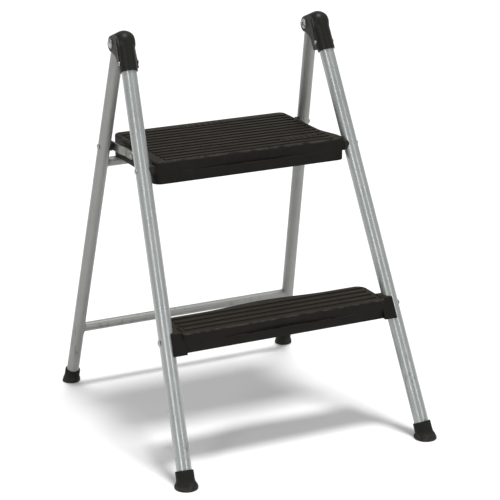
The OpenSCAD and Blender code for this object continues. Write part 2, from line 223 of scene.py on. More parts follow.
def make_object(name: str, shape: bmesh.types.BMesh, material: bpy.types.Material | None = None,
                crease: float = 38.0) -> bpy.types.Object:
    """Turns a bmesh into a shaded object at the origin.

    Args:
        name: the object's name.
        shape: the bmesh, which is freed.
        material: its material.
        crease: angle in degrees past which an edge is drawn sharp.

    Returns:
        The linked object.
    """
    mesh = bpy.data.meshes.new(name)
    shape.to_mesh(mesh)
    shape.free()
    return link_mesh(name, mesh, material, crease)


def link_mesh(name: str, mesh: bpy.types.Mesh, material: bpy.types.Material | None,
              crease: float) -> bpy.types.Object:
    """Links a mesh as an object with smooth shading up to the crease angle."""
    mesh.shade_smooth()
    mesh.set_sharp_from_angle(angle=math.radians(crease))
    if material is not None:
        mesh.materials.clear()
        mesh.materials.append(material)
    obj = bpy.data.objects.new(name, mesh)
    bpy.context.scene.collection.objects.link(obj)
    return obj


def bake_modifiers(obj: bpy.types.Object, crease: float = 38.0) -> bpy.types.Object:
    """Replaces an object's mesh by its evaluated mesh and removes its modifiers."""
    bpy.context.view_layer.update()
    graph = bpy.context.evaluated_depsgraph_get()
    mesh = bpy.data.meshes.new_from_object(obj.evaluated_get(graph))
    obj.modifiers.clear()
    old = obj.data
    obj.data = mesh
    bpy.data.meshes.remove(old)
    mesh.name = obj.name
    mesh.shade_smooth()
    mesh.set_sharp_from_angle(angle=math.radians(crease))
    return obj


def bevel(obj: bpy.types.Object, width: float, segments: int = 3, angle: float = 35.0) -> None:
    """Rounds an object's sharp edges and bakes the result."""
    modifier = obj.modifiers.new("edges", "BEVEL")
    modifier.width = width
    modifier.segments = segments
    modifier.limit_method = "ANGLE"
    modifier.angle_limit = math.radians(angle)
    modifier.miter_outer = "MITER_ARC"
    bake_modifiers(obj)


def cut_away(obj: bpy.types.Object, tools: Sequence[bpy.types.Object]) -> None:
    """Subtracts closed tool objects from an object, bakes it and deletes the tools."""
    for tool in tools:
        modifier = obj.modifiers.new("cut", "BOOLEAN")
        modifier.operation = "DIFFERENCE"
        modifier.solver = "EXACT"
        modifier.object = tool
    bake_modifiers(obj)
    for tool in tools:
        discard(tool)


def discard(obj: bpy.types.Object) -> None:
    """Deletes an object and its mesh."""
    mesh = obj.data
    bpy.data.objects.remove(obj)
    bpy.data.meshes.remove(mesh)


def loft(shape: bmesh.types.BMesh, rings: Sequence[Ring]) -> None:
    """Skins a row of rings that have the same number of points and fills its two ends.

    Args:
        shape: the bmesh that gets the faces.
        rings: the rings, in order, each counter-clockwise seen from the end of the row.
    """
    rows = [[shape.verts.new(p) for p in ring] for ring in rings]
    for low, high in zip(rows, rows[1:]):
        count = len(low)
        for i in range(count):
            j = (i + 1) % count
            shape.faces.new((low[i], low[j], high[j], high[i]))
    shape.faces.new(list(reversed(rows[0])))
    shape.faces.new(rows[-1])


def lathe(profile: Sequence[tuple[float, float]], place: Matrix, segments: int = 48,
          shape: bmesh.types.BMesh | None = None) -> bmesh.types.BMesh:
    """Turns a closed or open profile round the placement's Z axis.

    Args:
        profile: (radius, height) points; a zero radius makes a pole.
        place: the placement of the axis.
        segments: number of facets round the axis.
        shape: a bmesh to add to, or None for a new one.

    Returns:
        The bmesh with the turned surface.
    """
    shape = shape or bmesh.new()
    turns = [2 * math.pi * i / segments for i in range(segments)]
    rows = []
    for radius, height in profile:
        if radius <= 0:
            rows.append([shape.verts.new(place @ Vector((0, 0, height)))])
        else:
            rows.append([shape.verts.new(place @ Vector((radius * math.cos(a), radius * math.sin(a),
                                                        height))) for a in turns])
    for low, high in zip(rows, rows[1:]):
        for i in range(segments):
            j = (i + 1) % segments
            corners = [low[i % len(low)], low[j % len(low)],
                       high[j % len(high)], high[i % len(high)]]
            unique = list(dict.fromkeys(corners))
            if len(unique) > 2:
                shape.faces.new(unique)
    return shape


def prism(outline: Sequence[tuple[float, float]], low: float, high: float,
          place: Matrix) -> bmesh.types.BMesh:
    """A closed prism on a counter-clockwise outline in the placement's XY plane.

    Args:
        outline: the (x, y) points.
        low: height of the bottom face.
        high: height of the top face.
        place: the placement.

    Returns:
        A new bmesh.
    """
    shape = bmesh.new()
    rings = [[place @ Vector((x, y, z)) for x, y in outline] for z in (low, high)]
    loft(shape, rings)
    return shape


def add_object(shape: bmesh.types.BMesh, obj: bpy.types.Object) -> None:
    """Adds an object's mesh to a bmesh and deletes the object."""
    shape.from_mesh(obj.data)
    discard(obj)


# ---- Geometry Nodes ---------------------------------------------------------------


class PatternTree:
    """A Geometry Nodes tree with named inputs that realizes and dresses its instances."""

    def __init__(self, name: str) -> None:
        """Starts the tree with a geometry input and output."""
        self.tree = bpy.data.node_groups.new(name, "GeometryNodeTree")
        face = self.tree.interface
        face.new_socket("Geometry", in_out="INPUT", socket_type="NodeSocketGeometry")
        face.new_socket("Geometry", in_out="OUTPUT", socket_type="NodeSocketGeometry")
        self.entry = self.tree.nodes.new("NodeGroupInput")
        self.exit = self.tree.nodes.new("NodeGroupOutput")
        self.identifiers: dict[str, str] = {}

    def take(self, name: str, kind: str) -> bpy.types.NodeSocket:
        """Adds a named input of the given socket kind and returns its output in the tree."""
        socket = self.tree.interface.new_socket(name, in_out="INPUT", socket_type=kind)
        self.identifiers[name] = socket.identifier
        return self.entry.outputs[name]

    def add(self, kind: str, **settings: object) -> bpy.types.Node:
        """Adds a node and sets its properties."""
        node = self.tree.nodes.new(kind)
        for key, value in settings.items():
            setattr(node, key, value)
        return node

    def wire(self, source: bpy.types.NodeSocket, target: bpy.types.NodeSocket) -> None:
        """Links two sockets."""
        self.tree.links.new(source, target)

    def close(self, geometry: bpy.types.NodeSocket) -> None:
        """Ends the tree with Realize Instances and Set Material."""
        realize = self.add("GeometryNodeRealizeInstances")
        dress = self.add("GeometryNodeSetMaterial")
        self.wire(geometry, realize.inputs["Geometry"])
        self.wire(realize.outputs["Geometry"], dress.inputs["Geometry"])
        self.wire(self.take("Material", "NodeSocketMaterial"), dress.inputs["Material"])
        self.wire(dress.outputs["Geometry"], self.exit.inputs["Geometry"])

    def grow(self, name: str, values: dict[str, object],
             seed: bmesh.types.BMesh | None = None) -> bpy.types.Object:
        """Runs the tree once and returns its result as a plain mesh object.

        Args:
            name: the new object's name.
            values: a value for each named input.
            seed: geometry that the tree starts from, where it needs any.

        Returns:
            The object, with no modifier left on it.
        """
        mesh = bpy.data.meshes.new(name)
        if seed is not None:
            seed.to_mesh(mesh)
            seed.free()
        obj = bpy.data.objects.new(name, mesh)
        bpy.context.scene.collection.objects.link(obj)
        modifier = obj.modifiers.new("pattern", "NODES")
        modifier.node_group = self.tree
        for key, value in values.items():
            modifier[self.identifiers[key]] = value
        return bake_modifiers(obj)


def bar_row_tree() -> PatternTree:
    """A row of equal bars with rounded long edges: tread ribs, grip dashes and webs.

    Returns:
        A tree with inputs First, Step, Run, Count, Width, Height, Round and Material. Each
        bar runs from -Run / 2 to Run / 2 about its own middle.
    """
    pattern = PatternTree("bar_row")
    first = pattern.take("First", "NodeSocketVector")
    step = pattern.take("Step", "NodeSocketVector")
    run = pattern.take("Run", "NodeSocketVector")
    count = pattern.take("Count", "NodeSocketInt")
    width = pattern.take("Width", "NodeSocketFloat")
    height = pattern.take("Height", "NodeSocketFloat")
    rounding = pattern.take("Round", "NodeSocketFloat")

    section = pattern.add("GeometryNodeCurvePrimitiveQuadrilateral")
    pattern.wire(width, section.inputs["Width"])
    pattern.wire(height, section.inputs["Height"])
    fillet = pattern.add("GeometryNodeFilletCurve", mode="POLY")
    fillet.inputs["Count"].default_value = 4
    pattern.wire(section.outputs["Curve"], fillet.inputs["Curve"])
    pattern.wire(rounding, fillet.inputs["Radius"])

    ends = []
    for factor in (-0.5, 0.5):
        end = pattern.add("ShaderNodeVectorMath", operation="SCALE")
        end.inputs["Scale"].default_value = factor
        pattern.wire(run, end.inputs[0])
        ends.append(end)
    line = pattern.add("GeometryNodeCurvePrimitiveLine")
    pattern.wire(ends[0].outputs[0], line.inputs["Start"])
    pattern.wire(ends[1].outputs[0], line.inputs["End"])
    upright = pattern.add("GeometryNodeSetCurveNormal", mode="Z_UP")
    pattern.wire(line.outputs["Curve"], upright.inputs["Curve"])
    sweep = pattern.add("GeometryNodeCurveToMesh")
    sweep.inputs["Fill Caps"].default_value = True
    pattern.wire(upright.outputs["Curve"], sweep.inputs["Curve"])
    pattern.wire(fillet.outputs["Curve"], sweep.inputs["Profile Curve"])

    row = pattern.add("GeometryNodeMeshLine", mode="OFFSET")
    pattern.wire(count, row.inputs["Count"])
    pattern.wire(first, row.inputs["Start Location"])
    pattern.wire(step, row.inputs["Offset"])
    spread = pattern.add("GeometryNodeInstanceOnPoints")
    pattern.wire(row.outputs["Mesh"], spread.inputs["Points"])
    pattern.wire(sweep.outputs["Mesh"], spread.inputs["Instance"])
    pattern.close(spread.outputs["Instances"])
    return pattern


def rivet_tree() -> PatternTree:
    """Rivet heads on marked points: the head faces each point's aim and takes its radius.

    Returns:
        A tree with inputs Head and Material. The points carry the attributes aim, a vector,
        and radius, a number in metres.
    """
    pattern = PatternTree("rivets")
    head = pattern.add("GeometryNodeObjectInfo")
    pattern.wire(pattern.take("Head", "NodeSocketObject"), head.inputs["Object"])
    aim = pattern.add("GeometryNodeInputNamedAttribute", data_type="FLOAT_VECTOR")
    aim.inputs["Name"].default_value = "aim"
    radius = pattern.add("GeometryNodeInputNamedAttribute", data_type="FLOAT")
    radius.inputs["Name"].default_value = "radius"
    turn = pattern.add("FunctionNodeAlignRotationToVector", axis="Z")
    pattern.wire(aim.outputs["Attribute"], turn.inputs["Vector"])
    spread = pattern.add("GeometryNodeInstanceOnPoints")
    pattern.wire(pattern.entry.outputs["Geometry"], spread.inputs["Points"])
    pattern.wire(head.outputs["Geometry"], spread.inputs["Instance"])
    pattern.wire(turn.outputs["Rotation"], spread.inputs["Rotation"])
    pattern.wire(radius.outputs["Attribute"], spread.inputs["Scale"])
    pattern.close(spread.outputs["Instances"])
    return pattern


# ---- Materials --------------------------------------------------------------------


class Shading:
    """A material's node tree with short ways to add and wire its nodes."""

    def __init__(self, name: str) -> None:
        """Starts a material with one Principled shader."""
        self.material = bpy.data.materials.new(name)
        self.material.use_nodes = True
        self.nodes = self.material.node_tree.nodes
        self.links = self.material.node_tree.links
        self.nodes.clear()
        output = self.nodes.new("ShaderNodeOutputMaterial")
        self.shader = self.nodes.new("ShaderNodeBsdfPrincipled")
        self.links.new(self.shader.outputs["BSDF"], output.inputs["Surface"])
        self.coords = self.nodes.new("ShaderNodeTexCoord")

    def constant(self, **values: object) -> None:
        """Sets constants on the shader's own sockets, with _ for a space in a name."""
        for key, value in values.items():
            self.shader.inputs[key.replace("_", " ")].default_value = value

    def noise(self, scale: float, detail: float = 2.0, stretch: tuple = (1, 1, 1),
              roughness: float = 0.5) -> bpy.types.NodeSocket:
        """A noise on object coordinates, stretched along the axes."""
        mapping = self.nodes.new("ShaderNodeMapping")
        mapping.inputs["Scale"].default_value = stretch
        self.links.new(self.coords.outputs["Object"], mapping.inputs["Vector"])
        node = self.nodes.new("ShaderNodeTexNoise")
        node.inputs["Scale"].default_value = scale
        node.inputs["Detail"].default_value = detail
        node.inputs["Roughness"].default_value = roughness
        self.links.new(mapping.outputs["Vector"], node.inputs["Vector"])
        return node.outputs["Fac"]

    def cells(self, scale: float) -> bpy.types.NodeSocket:
        """The distance output of a fine cell pattern on object coordinates."""
        node = self.nodes.new("ShaderNodeTexVoronoi")
        node.inputs["Scale"].default_value = scale
        self.links.new(self.coords.outputs["Object"], node.inputs["Vector"])
        return node.outputs["Distance"]

    def axis(self, output: str, letter: str) -> bpy.types.NodeSocket:
        """One axis of the object coordinates or of the object-space normal."""
        node = self.nodes.new("ShaderNodeSeparateXYZ")
        self.links.new(self.coords.outputs[output], node.inputs[0])
        return node.outputs[letter]

    def attribute(self, name: str) -> bpy.types.NodeSocket:
        """A number stored on the mesh."""
        node = self.nodes.new("ShaderNodeAttribute")
        node.attribute_name = name
        return node.outputs["Fac"]

    def span(self, source: bpy.types.NodeSocket, low: float, high: float, start: float = 0.0,
             stop: float = 1.0) -> bpy.types.NodeSocket:
        """Maps low..high of a source to start..stop, clamped."""
        node = self.nodes.new("ShaderNodeMapRange")
        for name, value in (("From Min", low), ("From Max", high),
                            ("To Min", start), ("To Max", stop)):
            node.inputs[name].default_value = value
        self.links.new(source, node.inputs["Value"])
        return node.outputs["Result"]

    def times(self, a: bpy.types.NodeSocket, b: bpy.types.NodeSocket) -> bpy.types.NodeSocket:
        """The product of two numbers."""
        node = self.nodes.new("ShaderNodeMath")
        node.operation = "MULTIPLY"
        self.links.new(a, node.inputs[0])
        self.links.new(b, node.inputs[1])
        return node.outputs[0]

    def blend(self, factor: bpy.types.NodeSocket, a: object, b: object) -> bpy.types.NodeSocket:
        """Blends two colours, each a colour or a socket, by a factor."""
        node = self.nodes.new("ShaderNodeMix")
        node.data_type = "RGBA"
        self.links.new(factor, node.inputs["Factor"])
        for socket, value in ((node.inputs[6], a), (node.inputs[7], b)):
            if isinstance(value, bpy.types.NodeSocket):
                self.links.new(value, socket)
            else:
                socket.default_value = (*value, 1.0)
        return node.outputs[2]

    def bump(self, height: bpy.types.NodeSocket, distance: float, strength: float,
             under: bpy.types.NodeSocket | None = None) -> bpy.types.NodeSocket:
        """A bump from a height, on top of another bump where one is given."""
        node = self.nodes.new("ShaderNodeBump")
        node.inputs["Distance"].default_value = distance
        node.inputs["Strength"].default_value = strength
        self.links.new(height, node.inputs["Height"])
        if under is not None:
            self.links.new(under, node.inputs["Normal"])
        return node.outputs["Normal"]

    def feed(self, name: str, source: bpy.types.NodeSocket) -> None:
        """Links a source to one of the shader's inputs."""
        self.links.new(source, self.shader.inputs[name])


Colour = tuple[float, float, float]


@dataclass(frozen=True)
class MetallicPaint:
    """Silver-grey paint with fine metal flakes, orange peel and scuffs low on the legs."""

    name: str
    dark: Colour
    light: Colour
    scuffed: Colour
    metallic: float = 0.55
    smooth: float = 0.26
    rough: float = 0.40

    def material(self) -> bpy.types.Material:
        """Builds the paint."""
        mix = Shading(self.name)
        flakes = mix.cells(1500)
        cloud = mix.noise(14, 3)
        base = mix.blend(mix.span(flakes, 0.1, 0.55), self.dark, self.light)
        tone = mix.blend(mix.span(cloud, 0.35, 0.7, 0.0, 0.35), base, self.dark)
        low_down = mix.span(mix.axis("Object", "Z"), 0.03, 0.16, 1.0, 0.0)
        marks = mix.span(mix.noise(120, 4, (1, 1, 0.25)), 0.58, 0.66)
        colour = mix.blend(mix.times(low_down, marks), tone, self.scuffed)
        mix.feed("Base Color", colour)
        mix.feed("Roughness", mix.span(mix.noise(60, 4), 0.3, 0.7, self.smooth, self.rough))
        peel = mix.bump(mix.noise(420, 2), 0.00012, 0.22)
        mix.feed("Normal", mix.bump(flakes, 0.00004, 0.18, peel))
        mix.constant(Metallic=self.metallic, Coat_Weight=0.35, Coat_Roughness=0.16)
        return mix.material


@dataclass(frozen=True)
class Moulding:
    """Moulded plastic with a spark-eroded grain, faint flow marks, rubbed edges, a painted highlight on a marked lip
    and painted light on level faces.
    """

    name: str
    body: Colour
    # colour of marked edges: rubbing on the top edge and a painted highlight on the front lip
    worn: Colour
    # colour of level, upward faces, lighter than the body: painted light from above
    top: Colour
    smooth: float
    rough: float
    grain: float = 1600.0
    grain_depth: float = 0.00010
    specular: float = 0.45

    def material(self) -> bpy.types.Material:
        """Builds the plastic: level, upward faces are painted lighter and browner, as painted light from above."""
        mix = Shading(self.name)
        # Painted light: faces that point up take the lighter, browner top colour, in patches.
        level = mix.span(mix.axis("Normal", "Z"), 0.75, 0.97)
        tread = mix.times(level, mix.span(mix.noise(26, 4, (0.5, 1, 1)), 0.25, 0.75, 0.55, 1.0))
        base = mix.blend(tread, self.body, self.top)
        # Lighter colour on marked edges: rubbing on the top edge, a painted highlight along the front lip.
        edge = mix.times(mix.attribute("edge_wear"), mix.span(mix.noise(90, 4), 0.38, 0.62))
        colour = mix.blend(edge, base, self.worn)
        mix.feed("Base Color", colour)
        mix.feed("Roughness", mix.span(mix.noise(45, 4), 0.3, 0.7, self.smooth, self.rough))
        flow = mix.bump(mix.noise(9, 2, (0.4, 1.6, 1)), 0.0008, 0.12)
        grain = mix.bump(mix.cells(self.grain), self.grain_depth, 0.5, flow)
        mix.feed("Normal", mix.bump(mix.noise(700, 3), 0.00008, 0.35, grain))
        mix.constant(Specular_IOR_Level=self.specular)
        return mix.material


@dataclass(frozen=True)
class Rubber:
    """Matt black rubber that is dusty near the floor."""

    name: str
    body: Colour
    dust: Colour

    def material(self) -> bpy.types.Material:
        """Builds the rubber."""
        mix = Shading(self.name)
        near_floor = mix.span(mix.axis("Object", "Z"), 0.001, 0.014, 0.75, 0.0)
        dusty = mix.times(near_floor, mix.span(mix.noise(160, 5), 0.35, 0.7))
        mix.feed("Base Color", mix.blend(dusty, self.body, self.dust))
        mix.feed("Roughness", mix.span(mix.noise(70, 3), 0.3, 0.7, 0.58, 0.78))
        skin = mix.bump(mix.noise(520, 3), 0.00012, 0.4)
        mix.feed("Normal", mix.bump(mix.cells(900), 0.00006, 0.3, skin))
        mix.constant(Specular_IOR_Level=0.14)
        return mix.material


@dataclass(frozen=True)
class Plated:
    """Plated or bare steel with fine drawn lines along one axis."""

    name: str
    bright: Colour
    dull: Colour
    smooth: float
    rough: float
    lines: tuple[float, float, float] = (1, 1, 1)

    def material(self) -> bpy.types.Material:
        """Builds the metal."""
        mix = Shading(self.name)
        stain = mix.span(mix.noise(180, 4), 0.35, 0.7)
        drawn = mix.noise(900, 3, self.lines)
        mix.feed("Base Color", mix.blend(stain, self.bright, self.dull))
        mix.feed("Roughness", mix.span(drawn, 0.3, 0.7, self.smooth, self.rough))
        mix.feed("Normal", mix.bump(drawn, 0.00005, 0.25))
        mix.constant(Metallic=1.0)
        return mix.material


@dataclass(frozen=True)
class Palette:
    """Every finish on the stool, built once."""

    paint: bpy.types.Material
    rear_paint: bpy.types.Material
    tread: bpy.types.Material
    cap: bpy.types.Material
    rubber: bpy.types.Material
    rivet: bpy.types.Material
    link: bpy.types.Material
    nylon: bpy.types.Material

    @classmethod
    def build(cls) -> "Palette":
        """Builds the materials."""
        return cls(
            paint=MetallicPaint("silver_paint_front", (0.25, 0.265, 0.26), (0.38, 0.40, 0.395),
                                (0.16, 0.16, 0.15)).material(),
            rear_paint=MetallicPaint("silver_paint_rear", (0.19, 0.195, 0.185), (0.27, 0.275, 0.26),
                                     (0.14, 0.14, 0.13), 0.35, 0.42, 0.55).material(),
            # Mouldings list body, edge and top colours: the edge colour is rubbing plus a painted lip highlight, the
            # top colour is painted light on level faces.
            tread=Moulding("step_plastic_black", (0.0078, 0.0070, 0.0054), (0.036, 0.032, 0.026),
                           (0.0220, 0.0180, 0.0122), 0.46, 0.62, specular=0.11).material(),
            cap=Moulding("cap_plastic_black", (0.012, 0.0115, 0.010), (0.045, 0.042, 0.037),
                         (0.018, 0.017, 0.015), 0.34, 0.46, 2200.0, 0.00005, 0.16).material(),
            rubber=Rubber("foot_rubber_black", (0.010, 0.010, 0.0092),
                          (0.06, 0.055, 0.05)).material(),
            rivet=Plated("rivet_zinc_plate", (0.42, 0.42, 0.40), (0.26, 0.26, 0.25),
                         0.30, 0.44).material(),
            link=Plated("link_steel", (0.30, 0.30, 0.275), (0.21, 0.21, 0.19),
                        0.36, 0.50, (1, 0.08, 1)).material(),
            nylon=Moulding("bush_nylon", (0.10, 0.10, 0.095), (0.16, 0.16, 0.15),
                           (0.10, 0.10, 0.095), 0.40, 0.50).material(),
        )


def dress(material: bpy.types.Material, *nodes: str) -> None:
    """Gives frame nodes a finish, by their own material slots.

    Args:
        material: the finish.
        nodes: names of frame nodes.
    """
    for name in nodes:
        obj = frame["nodes"][name]
        if not obj.material_slots:
            obj.data.materials.append(material)
        for slot in obj.material_slots:
            slot.material = material
        LOG.info("%s keeps its frame shape in %s", name, material.name)


def enter(obj: bpy.types.Object, body: str, slot: str, *replaced: str) -> bpy.types.Object:
    """Makes a finished piece ride on its body and stand for its frame nodes.

    Args:
        obj: the piece.
        body: the body that carries it.
        slot: the record's material slot; not used.
        replaced: the frame nodes that it stands for.

    Returns:
        The same piece.
    """
    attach(obj, body)
    if replaced:
        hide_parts(*replaced)
    faces = len(obj.data.polygons)
    stands_for = ", ".join(replaced) or "itself"
    LOG.info("%s rides on %s, %d faces, for %s", obj.name, body, faces, stands_for)
    return obj


# ---- Steps ------------------------------------------------------------------------


@dataclass
class StepMoulding:
    """A hollow step: a tread plate on a skirt, with ribs above and webs below.

    The outline runs counter-clockwise seen from above. The skirt is swept round it, and the
    front wall is pressed in above a straight lip, so that the hollow can be gripped.
    """

    name: str
    body: str
    node: str
    material: bpy.types.Material
    rows: PatternTree
    half_width: float
    rib_count: int
    rib_pitch: float
    first_rib: float
    rib_margin: float
    hollow_half: float
    hollow_depth: float = 3.4 * MM
    rib_width: float = 6.4 * MM
    rib_height: float = 1.4 * MM
    wall: float = 2.6 * MM
    plate: float = 3.0 * MM
    top_radius: float = 2.2 * MM
    web: float = 1.8 * MM
    web_pitch: float = 43 * MM
    web_lines: tuple[float, ...] = ()
    corner_radius: float = 6.5 * MM
    low: Vector = field(init=False)
    high: Vector = field(init=False)

    def __post_init__(self) -> None:
        """Reads the node's box from the frame."""
        self.low, self.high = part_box(self.node)

    @property
    def plate_top(self) -> float:
        """Height of the tread plate between its ribs."""
        return self.high.z - self.rib_height

    @property
    def plate_bottom(self) -> float:
        """Height of the underside of the tread plate."""
        return self.plate_top - self.plate

    @property
    def lip(self) -> float:
        """Height of the lip below the hollow in the front wall."""
        return self.low.z + 0.44 * (self.high.z - self.low.z)

    def outline(self) -> list[tuple[float, float]]:
        """The outline seen from above, counter-clockwise."""
        raise NotImplementedError

    def front_line(self, count: int = 96) -> list[tuple[float, float]]:
        """Closely spaced points along the straight front, from left to right, ends left out."""
        reach = self.half_width - self.nose
        return [(-reach + 2 * reach * i / count, self.low.y) for i in range(1, count)]

    @property
    def nose(self) -> float:
        """Radius of the vertical front corners."""
        return self.corner_radius

    def normals(self, points: Sequence[tuple[float, float]]) -> list[Vector]:
        """Outward offset directions at the points of the outline, lengthened at corners."""
        result = []
        for i, (x, y) in enumerate(points):
            before, after = points[i - 1], points[(i + 1) % len(points)]
            a = Vector((x - before[0], y - before[1])).normalized()
            b = Vector((after[0] - x, after[1] - y)).normalized()
            tangent = (a + b).normalized()
            out = Vector((tangent.y, -tangent.x))
            result.append(out / max(0.5, abs(tangent.dot(a))))
        return result

    def hollow(self, x: float, y: float, z: float) -> float:
        """How far the front wall is pressed in at a point of the outline and a height."""
        if y > self.low.y + 0.1 * MM or abs(x) > self.hollow_half or z < self.lip:
            return 0.0
        along = 1 - (x / self.hollow_half) ** 2
        top = self.plate_top - self.top_radius - 0.5 * MM
        rise = (z - self.lip) / (top - self.lip)
        return self.hollow_depth * along * (1 - smooth_step(rise)) if rise < 1 else 0.0

    def skirt_rows(self) -> list[tuple[float, float]]:
        """(inset, height) of the outer skirt's rows, from the rim up on to the plate."""
        bottom, top, radius = self.low.z, self.plate_top, self.top_radius
        rim = [(1.0 * MM, bottom), (0.35 * MM, bottom + 0.12 * MM), (0.0, bottom + 0.7 * MM)]
        above = top - radius - self.lip
        wall = [(0.0, self.lip - 0.4 * MM), (0.0, self.lip - 0.05 * MM)]
        wall += [(0.0, self.lip + above * t)
                 for t in (0.0, 0.04, 0.12, 0.24, 0.38, 0.52, 0.68, 0.84, 1.0)]
        edge = [(radius - radius * math.cos(a), top - radius + radius * math.sin(a))
                for a in (math.radians(v) for v in (18, 36, 54, 72, 90))]
        return rim + wall + edge + [(radius + 1.2 * MM, top)]

    def shell(self) -> bpy.types.Object:
        """Builds the skirt, the plate and the inner wall as one closed mesh."""
        points = self.outline()
        out = self.normals(points)
        shape = bmesh.new()
        wear_and_highlight = shape.verts.layers.float.new("edge_wear")
        outer_rows = self.skirt_rows()
        inner_rows = [(self.wall, self.low.z), (self.wall, self.lip),
                      (self.wall, self.plate_bottom - 2 * MM),
                      (self.wall + 0.6 * MM, self.plate_bottom - 0.6 * MM),
                      (self.wall + 2 * MM, self.plate_bottom)]
        rows = []
        for inset, z in outer_rows:
            row = []
            for (x, y), normal in zip(points, out):
                push = inset + self.hollow(x, y, z)
                vert = shape.verts.new((x - normal.x * push, y - normal.y * push, z))
                # Marked rows: the rounded top edge, rubbed lighter, and the lip under the front hollow, where the same
                # lighter colour is a painted highlight line.
                on_edge = z > self.plate_top - self.top_radius and inset <= self.top_radius
                at_lip = abs(z - self.lip) < 0.2 * MM
                lip_highlight = at_lip and y <= self.low.y and abs(x) < self.hollow_half
                vert[wear_and_highlight] = 1.0 if on_edge or lip_highlight else 0.0
                row.append(vert)
            rows.append(row)
        inner = []
        for inset, z in inner_rows:
            inner.append([shape.verts.new((x - n.x * (inset + self.hollow(x, y, z)),
                                           y - n.y * (inset + self.hollow(x, y, z)), z))
                          for (x, y), n in zip(points, out)])
        self.skin(shape, rows, False)
        self.skin(shape, inner, True)
        self.skin(shape, [rows[0], inner[0]], True)
        shape.faces.new(rows[-1])
        shape.faces.new(list(reversed(inner[-1])))
        self.add_ends(shape)
        return make_object(self.name, shape, self.material)

    @staticmethod
    def skin(shape: bmesh.types.BMesh, rows: Sequence[Sequence[bmesh.types.BMVert]],
             inward: bool) -> None:
        """Joins neighbouring rows by quads that face outwards, or inwards."""
        count = len(rows[0])
        for low, high in zip(rows, rows[1:]):
            for i in range(count):
                j = (i + 1) % count
                quad = (low[i], low[j], high[j], high[i])
                shape.faces.new(tuple(reversed(quad)) if inward else quad)

    def add_ends(self, shape: bmesh.types.BMesh) -> None:
        """Adds what the step carries at its ends."""

    def ribs(self) -> bpy.types.Object:
        """The row of raised ribs that runs across the tread."""
        depth = self.rib_height + 1.6 * MM
        return self.rows.grow(self.name + "_ribs", {
            "First": (0.0, self.low.y + self.first_rib, self.high.z - depth / 2),
            "Step": (0.0, self.rib_pitch, 0.0),
            "Run": (2 * (self.half_width - self.rib_margin), 0.0, 0.0),
            "Count": self.rib_count,
            "Width": self.rib_width,
            "Height": depth,
            "Round": 0.75 * MM,
            "Material": self.material,
        })

    def webs(self) -> list[bpy.types.Object]:
        """The two sets of stiffening webs under the tread."""
        low = self.low.z + 6 * MM
        high = self.plate_bottom + 0.5 * MM
        middle = (low + high) / 2
        depth = self.end_depth - 2 * self.wall + 1 * MM
        across = int(self.half_width / self.web_pitch)
        common = {"Width": self.web, "Height": high - low, "Round": 0.3 * MM,
                  "Material": self.material}
        lines = [self.rows.grow(self.name + "_webs_across", {
            "First": (-across * self.web_pitch, self.low.y + self.wall + depth / 2, middle),
            "Step": (self.web_pitch, 0.0, 0.0), "Run": (0.0, depth, 0.0),
            "Count": 2 * across + 1, **common})]
        gap = self.web_lines[1] - self.web_lines[0] if len(self.web_lines) > 1 else 0.0
        lines.append(self.rows.grow(self.name + "_webs_along", {
            "First": (0.0, self.low.y + self.web_lines[0], middle),
            "Step": (0.0, gap, 0.0),
            "Run": (2 * (self.inner_half - self.wall) + 1 * MM, 0.0, 0.0),
            "Count": len(self.web_lines), **common}))
        return lines

    @property
    def inner_half(self) -> float:
        """Half width of the step where its webs run."""
        return self.half_width

    @property
    def end_depth(self) -> float:
        """Depth of the step at its ends, which every web stays within."""
        return self.high.y - self.low.y

    def build(self) -> None:
        """Builds the step and enters its pieces."""
        enter(self.shell(), self.body, "step_plastic", self.node)
        enter(self.ribs(), self.body, "step_plastic")
        shape = bmesh.new()
        for web in self.webs():
            add_object(shape, web)
        enter(make_object(self.name + "_webs", shape, self.material), self.body, "step_plastic")


